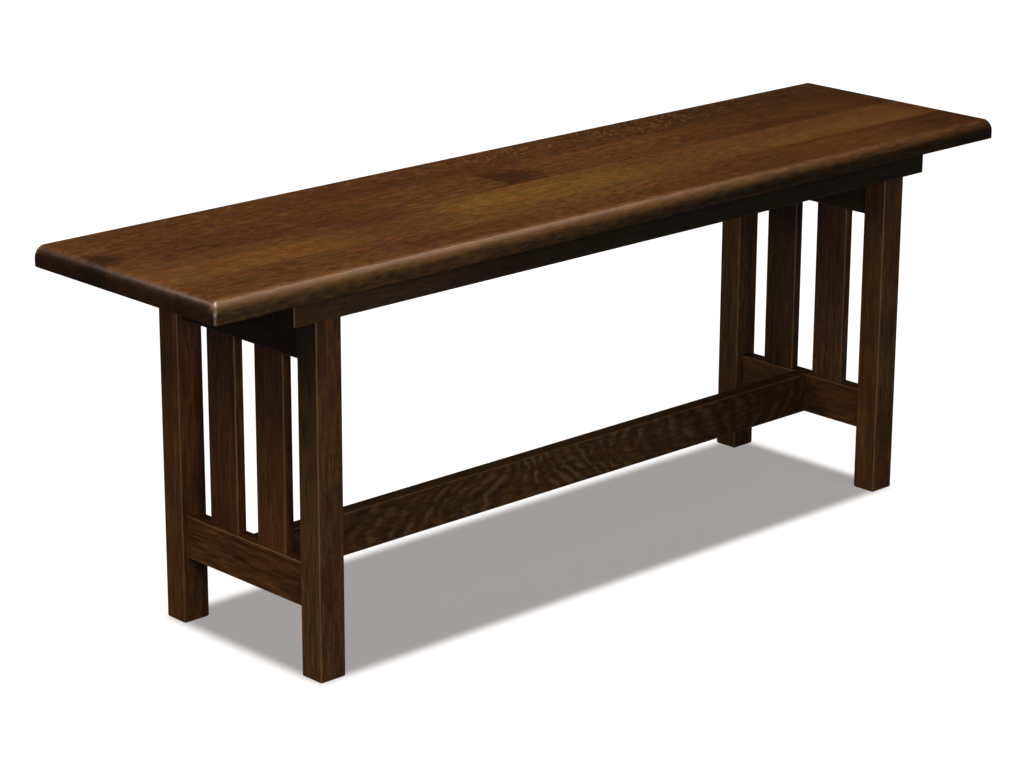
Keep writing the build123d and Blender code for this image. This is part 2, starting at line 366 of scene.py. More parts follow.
def edge_wear_and_highlight(w, place, cut):
    """Share of the lighter edge colour along the edges, here more and there less: stain that wears off, and a painted
    highlight.
    """
    gap = edge_distance(w, w.vector("ABSOLUTE", place) if cut.mirrored else place, *cut.body, cut.edges)
    patchy = w.noise(w.scaled(place, 34.0), detail=3.0, roughness=0.6)
    wear = w.times(w.fade(gap, cut.wear_highlight_reach, cut.wear_highlight_reach * 0.15), w.fade(patchy, 0.22, 0.62, 0.45, 1.0))
    if cut.spared:
        wear = w.times(wear, w.minus(1.0, w.times(patch_share(w, place, cut.spared), SPARED_WEAR_AND_HIGHLIGHT)))
    return w.times(wear, EDGE_WEAR_AND_HIGHLIGHT * cut.wear_highlight_strength)


def stained_oak(name, cut, finish):
    """Quarter-sawn oak under a dark stain and satin lacquer, the same through the whole piece."""
    material, w = new_material(name)
    coordinates = w.add("ShaderNodeTexCoord").outputs
    place, normal = coordinates["Object"], coordinates["Normal"]
    turned = w.add("ShaderNodeMapping", {"Vector": place, "Location": cut.log, "Rotation": cut.grain}).outputs[0]
    noises = grain_noises(w, turned, cut)
    _, dashes, streaks, pores = noises
    colour = stained_grain(w, turned, noises, cut, finish)

    # Ray figure shows only where the saw ran along the rays
    radial = 1.0
    if cut.face:
        facing = [1.0 if axis == cut.face else 0.0 for axis in "XYZ"]
        radial = w.fade(w.math("ABSOLUTE", w.vector("DOT_PRODUCT", normal, facing)), 0.3, 0.8)
    if cut.arcs:
        light, dark = ray_arcs(w, turned, dashes, cut)
        colour = w.blend(w.times(light, radial, 0.50 * cut.arcs), colour, finish.ray)
        colour = w.blend(w.times(dark, radial, 0.26 * cut.arcs), colour, finish.pore)
    if cut.flecks:
        colour = w.blend(w.times(ray_flecks(w, place, turned, cut), radial, cut.flecks), colour, finish.ray)

    # Tone and patches: stain, and painted light and shade on some pieces
    colour = w.vector("MULTIPLY", colour, cut.tone)
    for patch in cut.patches:
        colour = w.blend(patch_share(w, place, patch), colour, w.vector("MULTIPLY", colour, patch.gain))
    end = w.fade(w.math("ABSOLUTE", w.vector("DOT_PRODUCT", normal, END_AXIS[cut.grain])), 0.55, 0.98)
    colour = w.blend(end, colour, w.scaled(colour, END_GRAIN))
    # Lighter edges: wear, and a painted highlight
    colour = w.blend(edge_wear_and_highlight(w, place, cut), colour, finish.worn_and_highlight)

    # Satin lacquer sinks a little into the pores
    mottle = w.noise(w.scaled(place, 90.0), detail=2.0)
    roughness = w.plus(0.38, w.plus(w.times(pores, 0.12), w.times(mottle, 0.10)))
    w.surface(w.add("ShaderNodeBsdfPrincipled", {
        "Base Color": colour, "Roughness": roughness, "Specular IOR Level": 0.10,
        "Normal": w.bump(w.minus(w.times(streaks, 0.35), pores), 0.35, 0.00022),
        "Coat Weight": cut.gloss, "Coat Roughness": LACQUER_ROUGHNESS,
    }))
    return material


def zinc_plate(finish):
    """Bright zinc with fine turning marks."""
    material, w = new_material("Zinc plate")
    place = w.add("ShaderNodeTexCoord").outputs["Object"]
    spots = w.noise(w.scaled(place, 900.0), detail=3.0, roughness=0.6)
    marks = w.stretched_noise(place, 300.0, 300.0, 4000.0, detail=2.0)
    colour = w.blend(w.fade(spots, 0.35, 0.7), w.scaled(w.join(*finish.zinc), 0.72), finish.zinc)
    w.surface(w.add("ShaderNodeBsdfPrincipled", {
        "Base Color": colour, "Metallic": 1.0, "Roughness": w.plus(0.26, w.times(marks, 0.22)),
        "Normal": w.bump(marks, 0.3, 0.0001),
    }))
    return material


def raw_beech(finish):
    """Unfinished beech with its small dark rays."""
    material, w = new_material("Raw beech")
    place = w.add("ShaderNodeTexCoord").outputs["Object"]
    fibre = w.stretched_noise(place, 900.0, 30.0, 900.0, detail=3.0)
    rays = w.fade(w.stretched_noise(place, 1500.0, 250.0, 1500.0, detail=1.0), 0.6, 0.68)
    colour = w.scaled(w.join(*finish.dowel), w.plus(0.8, w.times(fibre, 0.4)))
    w.surface(w.add("ShaderNodeBsdfPrincipled", {
        "Base Color": w.blend(w.times(rays, 0.5), colour, (0.28, 0.14, 0.06)),
        "Roughness": w.fade(fibre, 0.0, 1.0, 0.62, 0.78), "Normal": w.bump(fibre, 0.4, 0.0001),
    }))
    return material


# ---- Wood of each piece ----
def seat_cuts():
    """The four glued boards, with light and dark places of stain and painted shade on their tops and along the front
    edge, and a painted highlight at the near corner.
    """
    top, front = SEAT_HIGH.z, SEAT_LOW.y
    # The body reaches down to the floor, so that only the top edges get the wear and painted highlight
    body = (Vector((SEAT_LOW.x, SEAT_LOW.y, 0.0)), SEAT_HIGH)
    board = {"grain": ALONG_X, "body": body, "face": "Z", "edges": "YZ", "wear_highlight_reach": 0.014, "wear_highlight_strength": 0.75,
             "flecks": 0.12, "gloss": 0.40}

    def on_top(x, y, length, width, gain=UNCHANGED, **border):
        return Patch((x, y, top), (length, width, 0.1), gain, **border)

    def on_front(x, length, gain, **border):
        return Patch((x, front - 0.004, top - 0.024), (length, 0.014, 0.016), gain, **border)

    return {
        "seat_board_front": Cut(
            log=(0.3, 0.7, 0.2), golden=0.28, cloud=0.5, mottle=1.15, pores=0.40, tone=(1.02, 0.98, 0.98), patches=(
                on_top(-0.52, -0.132, 0.07, 0.02, (0.80, 0.84, 0.95)),
                on_top(-0.28, -0.110, 0.06, 0.03, (0.90, 0.88, 1.00)),
                on_top(-0.12, -0.090, 0.16, 0.018, (1.28, 1.42, 1.25)),
                on_top(0.12, -0.132, 0.18, 0.018, (0.86, 0.88, 0.92)),
                on_top(0.48, -0.084, 0.17, 0.012, (0.84, 0.80, 0.80), soft=0.9),
                # Painted shade: the right end of the board and its round-over, darker where less light falls
                on_top(0.60, -0.12, 0.10, 0.06, (0.66, 0.60, 0.52)),
                on_front(0.0, 0.0, (0.76, 0.98, 1.30)),
                on_front(-0.60, 0.12, (0.66, 0.76, 0.90), soft=0.5),
                on_front(-0.43, 0.07, (0.88, 0.88, 0.90)),
                # Painted shade: the lower front face darker towards the right end
                on_front(0.70, 0.92, (0.32, 0.38, 0.34), soft=0.25),
                # Painted highlight: a pale spot at the near corner
                Patch((SEAT_LOW.x + 0.003, front + 0.003, top - 0.005), (0.005, 0.005, 0.006), (1.5, 1.9, 2.6),
                      soft=0.9),
            # The spared patch takes the wear and painted highlight off the right end of the front edge
            ), spared=Patch((0.66, front, top), (0.50, 0.05, 0.1)), **board),
        "seat_board_front_middle": Cut(
            log=(1.9, 0.1, 0.5), golden=0.62, cloud=0.45, mottle=0.95, pores=0.40, tone=(1.0, 1.0, 1.05), patches=(
                on_top(-0.46, -0.058, 0.075, 0.026, (1.15, 1.10, 1.00)),
                on_top(-0.27, -0.040, 0.07, 0.05, (0.74, 0.68, 0.92)),
                on_top(-0.07, -0.045, 0.17, 0.045, (1.30, 1.44, 1.22)),
                on_top(-0.38, -0.010, 0.24, 0.014, (0.84, 0.85, 1.00)),
                on_top(0.42, -0.054, 0.16, 0.022, (1.24, 1.30, 1.25)),
                # Painted shade: darker at the right end
                on_top(0.61, -0.040, 0.03, 0.06, (0.80, 0.76, 0.70)),
            ), **board),
        "seat_board_back_middle": Cut(
            log=(3.1, 1.3, 0.9), golden=0.18, cloud=0.4, mottle=1.15, pores=0.40, tone=(1.0, 0.98, 1.02), patches=(
                on_top(-0.607, 0.050, 0.024, 0.022, (0.42, 0.40, 0.46)),
                on_top(-0.44, 0.034, 0.14, 0.032, (0.80, 0.79, 0.92)),
                on_top(-0.150, 0.038, 0.09, 0.045, (1.06, 1.14, 1.08)),
                on_top(-0.052, 0.030, 0.050, 0.036, (0.54, 0.48, 0.46), soft=0.45, cut_end=-0.064),
                on_top(0.17, 0.034, 0.18, 0.04, (1.14, 1.22, 1.05)),
                # Painted shade: darker towards the right end
                on_top(0.44, 0.038, 0.16, 0.06, (0.82, 0.80, 0.76)),
                on_top(0.61, 0.038, 0.05, 0.06, (0.70, 0.66, 0.62)),
            ), **board),
        "seat_board_back": Cut(
            log=(5.3, 2.1, 0.4), golden=0.12, cloud=0.4, mottle=1.3, pores=0.50, tone=(0.96, 0.94, 1.0), patches=(
                on_top(-0.61, 0.11, 0.05, 0.05, (1.16, 1.16, 1.10)),
                # Painted shade: darker at the back of the right half
                on_top(0.52, 0.12, 0.24, 0.07, (0.70, 0.68, 0.60)),
            ), fleck_zone=on_top(0.33, 0.122, 0.38, 0.036), fleck_grid=(300.0, 88.0),
            **{**board, "flecks": 1.0}),
    }


def bearer_cuts():
    """The near-black rails under the seat, with painted shade darkening them towards the right and painted light at
    their left ends.
    """
    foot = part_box("back_bearer")[0].z
    # Painted shade darkens the rails towards the right, and painted light brightens their left ends
    patches = (Patch((0.30, 0.0, foot), (0.55, 1.0, 1.0), (0.42, 0.60, 0.72)),
               Patch((-0.42, 0.0, foot), (0.14, 1.0, 1.0), (1.40, 1.34, 1.35)))
    return {node: Cut(grain=ALONG_X, log=(seed, 0.4, seed), body=extent(node), tone=(0.56, 0.88, 1.75), golden=0.1,
                      cloud=0.3, mottle=0.6, wear_highlight_strength=0.35, face="Y", patches=patches)
            for node, seed in (("front_bearer", 7.1), ("back_bearer", 8.3))}


def leg_cuts():
    """The four legs. Each has its seed in the log, its tone, the strength of its arcs and its places of painted light
    and shade, where more or less light reaches its faces; the back right leg's darker tone is painted shade too.

    A place is given by its face, its height, how far it reaches up and down, and its colour.
    """
    legs = {
        # Painted light and shade on the leg faces: darker under the seat, lighter where the light reaches
        "front_left_leg": (11.2, (1.00, 1.22, 1.62), 0.20, (
            ("left", 0.40, 0.065, (0.42, 0.52, 0.76)), ("front", 0.03, 0.05, (1.10, 1.09, 1.09)))),
        "back_left_leg": (12.9, (1.08, 1.04, 1.04), 0.05, (
            ("front", 0.37, 0.070, (1.32, 1.48, 1.66)), ("front", 0.28, 0.12, (1.13, 1.14, 1.26)),
            ("front", 0.10, 0.13, (0.74, 0.82, 1.05)))),
        "front_right_leg": (14.3, (1.06, 1.24, 1.58), 0.14, (
            ("left", 0.38, 0.025, (0.76, 0.76, 0.80)), ("left", 0.28, 0.05, (1.13, 1.12, 1.00)))),
        "back_right_leg": (16.1, (0.80, 0.94, 1.20), 0.05, (
            ("left", 0.22, 0.30, (1.22, 1.20, 1.20)), ("left", 0.37, 0.05, (0.76, 0.74, 0.80)),
            ("front", 0.36, 0.06, (1.10, 1.26, 1.34)))),
    }
    cuts = {}
    for node, (seed, tone, arcs, places) in legs.items():
        low, high = extent(node)
        middle = (low + high) / 2
        faces = {"left": ((low.x, middle.y), (0.012, 0.03)), "front": ((middle.x, low.y), (0.03, 0.008))}
        patches = [Patch((*faces[face][0], height), (*faces[face][1], reach), gain)
                   for face, height, reach, gain in places]
        cuts[node] = Cut(grain=ALONG_Z, log=(seed, 0.9, 0.3), body=(low, high), tone=tone, golden=0.18, cloud=0.45,
                         mottle=1.1, dashes=(26.0, 400.0), flecks=0.15, arcs=arcs, arc_turn=0.5, face="Y", wear_highlight_strength=0.65,
                         patches=patches)
    return cuts


def rail_cuts():
    """The rails of the end frames, the upper ones darkened by painted shade under the seat and the lower ones with
    painted shade along their top face.
    """
    # Painted shade on the top faces of the lower rails, under the seat
    painted_top_shade = Patch((0.0, 0.0, LOWER_RAIL_TOP + 0.002), (0.0, 0.0, 0.003), (0.60, 0.64, 0.66))
    rails = (
        # The upper rails' dark tones are painted shade under the seat
        ("left_upper_rail", 21.7, (0.28, 0.36, 0.56), 0.8, ()),
        ("right_upper_rail", 23.3, (0.28, 0.52, 1.05), 0.6, ()),
        ("left_lower_rail", 25.9, (0.82, 0.79, 0.82), 1.7, (painted_top_shade,)),
        ("right_lower_rail", 27.5, (0.84, 0.90, 1.00), 1.0, (painted_top_shade,)),
    )
    return {node: Cut(grain=ALONG_Y, log=(seed, 0.2, 0.6), body=extent(node), tone=tone, golden=0.35, cloud=0.6,
                      mottle=mottle, dashes=(20.0, 330.0), pores=0.6, flecks=0.7, fleck_grid=(46.0, 330.0),
                      fleck_lean=3.0, wear_highlight_strength=0.8, edges="XZ", face="X", patches=patches)
            for node, seed, tone, mottle, patches in rails}


def stretcher_cut():
    """The stretcher with the boldest ray bands, darker to the right, with painted shade along its top face."""
    middle = LOWER_RAIL_TOP - 0.025
    return Cut(grain=ALONG_X, log=(31.0, 0.35, 0.1), body=extent("stretcher"), tone=(0.98, 1.08, 1.16), golden=0.18,
               cloud=0.4, mottle=0.9, dashes=(50.0, 360.0), pores=0.35, arcs=1.35, arc_turn=0.25, arc_spacing=0.021,
               wear_highlight_strength=0.7, edges="YZ", face="Y", patches=(
                   Patch((0.44, -0.01, middle), (0.22, 0.1, 0.1), (0.50, 0.48, 0.48)),
                   Patch((0.10, -0.01, middle), (0.22, 0.1, 0.1), (1.18, 1.24, 1.34)),
                   # Painted shade on the top face under the seat
                   Patch((0.0, 0.0, LOWER_RAIL_TOP + 0.002), (0.0, 0.0, 0.003), (0.56, 0.66, 0.72)),
               ))


def slat_cut():
    """The slats, which share one stain, with painted shade making them darker in the right-hand frame and at its upper
    back, and painted light on the front slats.
    """
    right, back, middle = FRAME_CENTRE_X, SLAT_HIGH.y, 0.24
    return Cut(grain=ALONG_Z, log=(41.0, 0.15, 0.75), body=(SLAT_LOW, SLAT_HIGH), tone=(1.10, 1.04, 1.02), golden=0.15,
               cloud=0.5, mottle=1.3, dashes=(26.0, 400.0), pores=0.55, flecks=0.2, wear_highlight_strength=0.9, edges="XY",
               mirrored=True, patches=(
                   # Painted light and shade: darker in the right-hand frame and at its upper back, lighter at the front
                   Patch((right, 0.0, middle), (0.3, 0.5, 0.5), (0.64, 0.72, 0.80)),
                   Patch((right, back, middle), (0.3, 0.08, 0.5), (0.66, 0.84, 1.30)),
                   Patch((right, -back, middle), (0.3, 0.08, 0.5), (1.50, 1.60, 1.90)),
                   Patch((right, back, SLAT_HIGH.z), (0.3, 0.10, 0.05), (0.62, 0.74, 1.00)),
                   Patch((-right, back, middle), (0.3, 0.08, 0.5), (0.84, 0.88, 0.95)),
                   Patch((-right, -back, middle), (0.3, 0.08, 0.5), (1.20, 1.24, 1.28)),
               ))


def finish_nodes(cuts, finish):
    """Gives pieces of the joinery their oak."""
    for node, cut in cuts.items():
        material = stained_oak("Oak " + node.replace("_", " "), cut, finish)
        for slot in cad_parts[node].material_slots:
            slot.material = material


# ---- Shapes that repeat ----
class Shaping(Wiring):
    """Geometry nodes for one kind of repeated piece, with named inputs for its sizes."""

    def __init__(self, name, sizes):
        tree = bpy.data.node_groups.new(name, "GeometryNodeTree")
        super().__init__(tree)
        tree.interface.new_socket("Geometry", in_out="OUTPUT", socket_type="NodeSocketGeometry")
        self.sizes = sizes
        self.identifiers = {}
        for label, value in sizes.items():
            kind = "NodeSocketInt" if isinstance(value, int) else "NodeSocketFloat"
            self.identifiers[label] = tree.interface.new_socket(label, in_out="INPUT", socket_type=kind).identifier
        self.inputs = self.add("NodeGroupInput").outputs

    def pick(self, *labels):
        """The outputs of several named sizes."""
        return [self.inputs[label] for label in labels]

    def up(self, height):
        return self.join(0, 0, height)

    def down(self, depth):
        return self.up(self.times(depth, -1.0))

    def move(self, geometry, place=None, turn=None):
        inputs = {"Geometry": geometry, "Translation": place, "Rotation": turn}
        return self.add("GeometryNodeTransform", inputs).outputs[0]

    def gather(self, *pieces):
        joined = self.add("GeometryNodeJoinGeometry")
        for piece in reversed(pieces):
            self.tree.links.new(piece, joined.inputs[0])
        return joined.outputs[0]

    def sweep(self, line, profile):
        inputs = {"Curve": line, "Profile Curve": profile, "Fill Caps": True}
        return self.add("GeometryNodeCurveToMesh", inputs).outputs[0]

    def line(self, start, end):
        return self.add("GeometryNodeCurvePrimitiveLine", {"Start": start, "End": end}).outputs[0]

    def circle(self, radius, count):
        return self.add("GeometryNodeCurvePrimitiveCircle", {"Resolution": count, "Radius": radius}).outputs[0]

    def rectangle(self, width, height):
        return self.add("GeometryNodeCurvePrimitiveQuadrilateral", {"Width": width, "Height": height}).outputs[0]

    def rounded(self, outline, radius):
        """An outline with its corners rounded."""
        inputs = {"Curve": outline, "Radius": radius, "Count": 3, "Limit Radius": True}
        return self.add("GeometryNodeFilletCurve", inputs, mode="POLY").outputs[0]

    def barrel(self, foot, top, height):
        """A round block or cone that stands on the XY plane."""
        inputs = {"Vertices": 24, "Radius Top": top, "Radius Bottom": foot, "Depth": height}
        return self.add("GeometryNodeMeshCone", inputs).outputs[0]

    def union(self, *pieces):
        """One closed body from several."""
        made = self.add("GeometryNodeMeshBoolean", operation="UNION", solver="MANIFOLD")
        for piece in pieces:
            self.tree.links.new(piece, made.inputs["Mesh 2"])
        return made.outputs[0]

    def less(self, whole, taken):
        """A body with another one taken out of it."""
        inputs = {"Mesh 1": whole, "Mesh 2": taken}
        return self.add("GeometryNodeMeshBoolean", inputs, operation="DIFFERENCE", solver="MANIFOLD").outputs[0]

    def on_grid(self, piece, count, spans, height):
        """Sets the piece down at each crossing of a grid."""
        grid = self.add("GeometryNodeMeshGrid", {"Size X": spans[0], "Size Y": spans[1],
                                                 "Vertices X": count[0], "Vertices Y": count[1]})
        raised = self.move(grid.outputs[0], self.up(height))
        return self.add("GeometryNodeInstanceOnPoints", {"Points": raised, "Instance": piece}).outputs[0]

    def build(self, name, geometry, material, nodes, slot):
        """Ends the tree, turns its result into a plain mesh and puts it in the place of the nodes it stands for."""
        real = self.add("GeometryNodeRealizeInstances", {0: geometry}).outputs[0]
        covered = self.add("GeometryNodeSetMaterial", {"Geometry": real, "Material": material}).outputs[0]
        self.add("NodeGroupOutput", {0: covered})
        carrier = bpy.data.objects.new(name + "_carrier", bpy.data.meshes.new(name + "_carrier"))
        bpy.context.scene.collection.objects.link(carrier)
        modifier = carrier.modifiers.new("Shaping", "NODES")
        modifier.node_group = self.tree
        for label, value in self.sizes.items():
            modifier[self.identifiers[label]] = value
        shaped = bpy.data.meshes.new_from_object(carrier.evaluated_get(bpy.context.evaluated_depsgraph_get()))
        carrier.modifiers.remove(modifier)
        bpy.data.objects.remove(carrier)
        if not shaped.polygons:
            raise RuntimeError(f"{name} came out empty")
        put_in_place(name, shaped, material, nodes)


def put_in_place(name, mesh, material, nodes):
    """Makes a finished mesh a piece of the bench that stands for nodes of the joinery."""
    work = bmesh.new()
    work.from_mesh(mesh)
    bmesh.ops.remove_doubles(work, verts=work.verts, dist=0.000002)
    bmesh.ops.recalc_face_normals(work, faces=work.faces)
    work.to_mesh(mesh)
    work.free()
    mesh.materials.clear()
    mesh.materials.append(material)
    mesh.set_sharp_from_angle(angle=math.radians(32))
    for polygon in mesh.polygons:
        polygon.use_smooth = True
    piece = bpy.data.objects.new(name, mesh)
    bpy.context.scene.collection.objects.link(piece)
    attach(piece, "root")
    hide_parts(*nodes)


# Shares of a screw's head or thread, and of a dowel's radius at its flutes and ends
WASHER_SHARE = 0.28
CROWN_FOOT, CROWN_TOP = 0.78, 0.62
CORE_SHARE, RIDGE_SHARE, RIDGE_LINE = 0.72, 0.2, 0.79
FLUTE_SHARE, END_SHARE = 0.91, 0.90
# Metres: the arms of the cross recess, and the screw's tip
RECESS_WIDTH, RECESS_LENGTH = 0.0011, 0.0044
POINT_TIP = 0.00012


def screw_shape(s):
    """A screw with its head's top at the origin and its point down."""
    head, thread, length = s.pick("Head radius", "Thread radius", "Length")
    tall, point, recess, pitch = s.pick("Head height", "Point", "Recess", "Pitch")
    rim = s.times(tall, WASHER_SHARE)
    washer = s.move(s.barrel(head, head, rim), s.down(tall))
    crown = s.barrel(s.times(head, CROWN_FOOT), s.times(head, CROWN_TOP), s.minus(tall, rim))
    crown = s.move(crown, s.up(s.minus(rim, tall)))
    depth = s.times(recess, 2.0)
    arms = [s.add("GeometryNodeMeshCube", {"Size": s.join(across, along, depth)}).outputs[0]
            for across, along in ((RECESS_WIDTH, RECESS_LENGTH), (RECESS_LENGTH, RECESS_WIDTH))]
    crown = s.less(crown, s.union(*arms))
    core = s.times(thread, CORE_SHARE)
    plain = s.minus(s.minus(length, tall), point)
    shoulder = s.down(s.plus(tall, plain))
    body = s.move(s.barrel(core, core, plain), shoulder)
    tip = s.move(s.barrel(POINT_TIP, core, point), s.down(length))
    ridge_radius = s.times(thread, RIDGE_LINE)
    spiral = s.add("GeometryNodeCurveSpiral", {
        "Resolution": 14, "Rotations": s.math("DIVIDE", plain, pitch), "Start Radius": ridge_radius,
        "End Radius": ridge_radius, "Height": plain,
    }).outputs[0]
    ridge = s.sweep(spiral, s.circle(s.times(thread, RIDGE_SHARE), 3))
    return s.gather(s.union(washer, crown, body, tip), s.move(ridge, shoulder))


# ---- Operators ----
class BENCH_OT_seat(bpy.types.Operator):
    """Finish the four glued boards of the seat"""

    bl_idname = "bench.seat"
    bl_label = "Seat boards"

    def execute(self, context):
        finish_nodes(seat_cuts(), context.scene.bench_finish)
        return {"FINISHED"}


class BENCH_OT_base(bpy.types.Operator):
    """Finish the bearers, legs, rails and stretcher"""

    bl_idname = "bench.base"
    bl_label = "Bearers, legs, rails and stretcher"

    def execute(self, context):
        cuts = {**bearer_cuts(), **leg_cuts(), **rail_cuts(), "stretcher": stretcher_cut()}
        finish_nodes(cuts, context.scene.bench_finish)
        return {"FINISHED"}


class BENCH_OT_slats(bpy.types.Operator):
    """Make the four slats with their stub tenons"""

    bl_idname = "bench.slats"
    bl_label = "Slats"

    def execute(self, context):
        parts = context.scene.bench_parts
        s = Shaping("Slats", {
            "Width": parts.slat_width, "Thickness": parts.slat_thickness, "Gap": parts.slat_gap,
            "Edge": parts.slat_ease, "Foot": LOWER_RAIL_TOP, "Head": UPPER_RAIL_FOOT,
            "Tenon": LOWER_RAIL_TOP - SLAT_LOW.z, "Shoulder": 0.002, "Frame": FRAME_CENTRE_X,
        })
        width, thickness, gap, edge = s.pick("Width", "Thickness", "Gap", "Edge")
        foot, head, tenon, shoulder, centre = s.pick("Foot", "Head", "Tenon", "Shoulder", "Frame")
        board = s.sweep(s.line(s.up(foot), s.up(head)), s.rounded(s.rectangle(thickness, width), edge))
        shoulders = s.times(shoulder, 2.0)
        stub = s.rectangle(s.minus(thickness, shoulders), s.minus(width, shoulders))
        lower = s.sweep(s.line(s.up(s.minus(foot, tenon)), s.up(foot)), stub)
        upper = s.sweep(s.line(s.up(head), s.up(s.plus(head, tenon))), stub)
        spans = (s.times(centre, 2.0), s.plus(gap, width))
        s.build("end_frame_slats", s.on_grid(s.gather(board, lower, upper), (2, 2), spans, 0.0),
                stained_oak("Oak slats", slat_cut(), context.scene.bench_finish), SLATS, "oak_frame")
        return {"FINISHED"}


class BENCH_OT_screws(bpy.types.Operator):
    """Make the washer-head screws that hold the bearers to the seat and to the legs"""

    bl_idname = "bench.screws"
    bl_label = "Screws"

    def execute(self, context):
        parts = context.scene.bench_parts
        material = zinc_plate(context.scene.bench_finish)
        head, thread = parts.screw_head / 2, parts.screw_shank / 2
        groups = (
            ("seat_screw_set", "seat_screws", SCREW_LOW, SCREW_HIGH, (4, 2), True),
            ("leg_screw_set", "leg_screws", LEG_SCREW_LOW, LEG_SCREW_HIGH, (2, 2), False),
        )
        for name, node, low, high, count, point_up in groups:
            s = Shaping(name, {"Head radius": head, "Thread radius": thread, "Length": high.z - low.z,
                               "Head height": 0.0028, "Recess": 0.0016, "Pitch": 0.0019, "Point": 0.0050})
            screw = s.move(screw_shape(s), turn=(math.pi if point_up else 0.0, 0.0, math.radians(17)))
            spans = (2 * (high.x - head), 2 * (high.y - head))
            head_top = low.z if point_up else high.z
            s.build(name, s.on_grid(screw, count, spans, head_top), material, (node,), "screw_steel")
        return {"FINISHED"}


class BENCH_OT_dowels(bpy.types.Operator):
    """Make the fluted dowels between the seat boards"""

    bl_idname = "bench.dowels"
    bl_label = "Dowels"

    def execute(self, context):
        thickness = context.scene.bench_parts.dowel_diameter
        rows = (SEAT_HIGH.y - SEAT_LOW.y) / 2
        s = Shaping("Dowels", {"Radius": thickness / 2, "Length": (DOWEL_HIGH.y - DOWEL_LOW.y) - rows,
                               "Chamfer": 0.0008, "Flutes": context.scene.bench_parts.dowel_flutes})
        radius, length, chamfer, flutes = s.pick("Radius", "Length", "Chamfer", "Flutes")
        ribbed = s.add("GeometryNodeCurveStar", {"Points": flutes, "Inner Radius": s.times(radius, FLUTE_SHARE),
                                                 "Outer Radius": radius}).outputs[0]
        half = s.minus(s.times(length, 0.5), chamfer)
        shaft = s.sweep(s.line(s.down(half), s.up(half)), ribbed)
        end = s.move(s.barrel(s.times(radius, END_SHARE), s.minus(radius, chamfer), chamfer), s.up(half))
        dowel = s.gather(shaft, end, s.move(end, turn=(math.pi, 0, 0)))
        dowel = s.move(dowel, turn=(math.radians(90), 0, 0))
        spans = (2 * (DOWEL_HIGH.x - thickness / 2), rows)
        s.build("seat_dowel_set", s.on_grid(dowel, (5, 3), spans, (DOWEL_LOW.z + DOWEL_HIGH.z) / 2),
                raw_beech(context.scene.bench_finish), ("seat_dowels",), "dowel_wood")
        return {"FINISHED"}


# ---- Studio ----
# The floor has a painted shadow between the legs, with a soft border
LEG_REACH = Vector([max(abs(low), high) for low, high in zip(*extent("front_left_leg", "back_right_leg"))])
SHADE_BORDER = 0.014
FLOOR_HALF = 4.0
FLOOR_DROP = 0.0004                 # metres that the floor lies under the feet
LAMPS_FACE = Vector((0.0, 0.0, 0.40))
EYE = Vector((-2.4456, -2.5120, 1.3100))
EYE_TURN = math.radians(-43.476)
EYE_TILT = math.radians(17.493)
EYE_ROLL = math.radians(0.2455)


class Softbox:
    """A lamp: where it hangs, its size, how bright it makes a face turned to it, and where it shows.

    It shows on matt wood, in the gloss, or in both.
    """

    def __init__(self, name, place, size, level, shows="both", tint=(1.0, 1.0, 1.0), on_floor=False):
        self.name = name
        self.place = Vector(place)
        self.size = size
        self.level = level
        self.shows = shows
        self.tint = tint
        self.on_floor = on_floor


def studio_lamps():
    return (
        Softbox("Overhead softbox", (-0.16, -0.16, 3.00), (1.0, 1.0), 0.26),
        Softbox("High front left softbox", (-0.92, -0.92, 2.65), (1.0, 1.0), 0.14),
        Softbox("Front softbox", (-1.22, -2.12, 1.29), (1.0, 1.0), 0.25),
        Softbox("Left softbox", (-1.82, -0.26, 2.24), (1.0, 1.0), 0.36, shows="matt"),
        Softbox("Right softbox", (1.30, 0.00, 2.65), (1.0, 1.0), 0.16, shows="matt"),
        Softbox("Left back softbox", (-1.18, 1.68, 2.00), (1.0, 1.0), 0.28, shows="matt"),
        Softbox("Corner glint", (-1.19, -0.75, 2.92), (2.4, 0.5), 2.10, shows="gloss", tint=(1.0, 0.95, 0.86)),
        Softbox("Corner line", (-1.90, -1.70, 0.42), (2.4, 0.75), 0.90, shows="gloss", tint=(1.0, 0.86, 0.76)),
        Softbox("Front edge glint", (1.35, -0.60, 2.34), (0.8, 0.8), 0.155, shows="gloss", tint=(1.0, 0.90, 0.72)),
        Softbox("Low edge glint", (0.74, -0.92, 1.71), (1.0, 1.0), 0.30, shows="gloss", tint=(1.0, 0.96, 0.88)),
        Softbox("End glint", (-1.30, 0.85, 1.24), (0.4, 0.4), 0.175, shows="gloss", tint=(1.0, 0.80, 0.66)),
        Softbox("Floor lamp", (0.00, 0.00, 9.00), (2.0, 2.0), 0.15, on_floor=True),
    )


def light_group(name, floor, state):
    """The pieces a lamp falls on: only the floor, or all but the floor."""
    group = bpy.data.collections.new(name)
    group.objects.link(floor)
    group.collection_objects[0].light_linking.link_state = state
    return group


def hang(lamp, level, group):
    """Hangs a lamp so that it faces the bench. Its power follows from its brightness and its distance."""
    light = bpy.data.lights.new(lamp.name, "AREA")
    light.shape = "RECTANGLE"
    light.size, light.size_y = lamp.size
    light.color = lamp.tint
    away = LAMPS_FACE - lamp.place
    light.energy = lamp.level * level * math.pi ** 2 * away.length_squared
    hung = bpy.data.objects.new(lamp.name, light)
    hung.matrix_world = Matrix.Translation(lamp.place) @ away.to_track_quat("-Z", "Y").to_matrix().to_4x4()
    bpy.context.scene.collection.objects.link(hung)
    hung.light_linking.receiver_collection = group
    hung.visible_diffuse = lamp.shows != "gloss"
    hung.visible_glossy = lamp.shows != "matt"


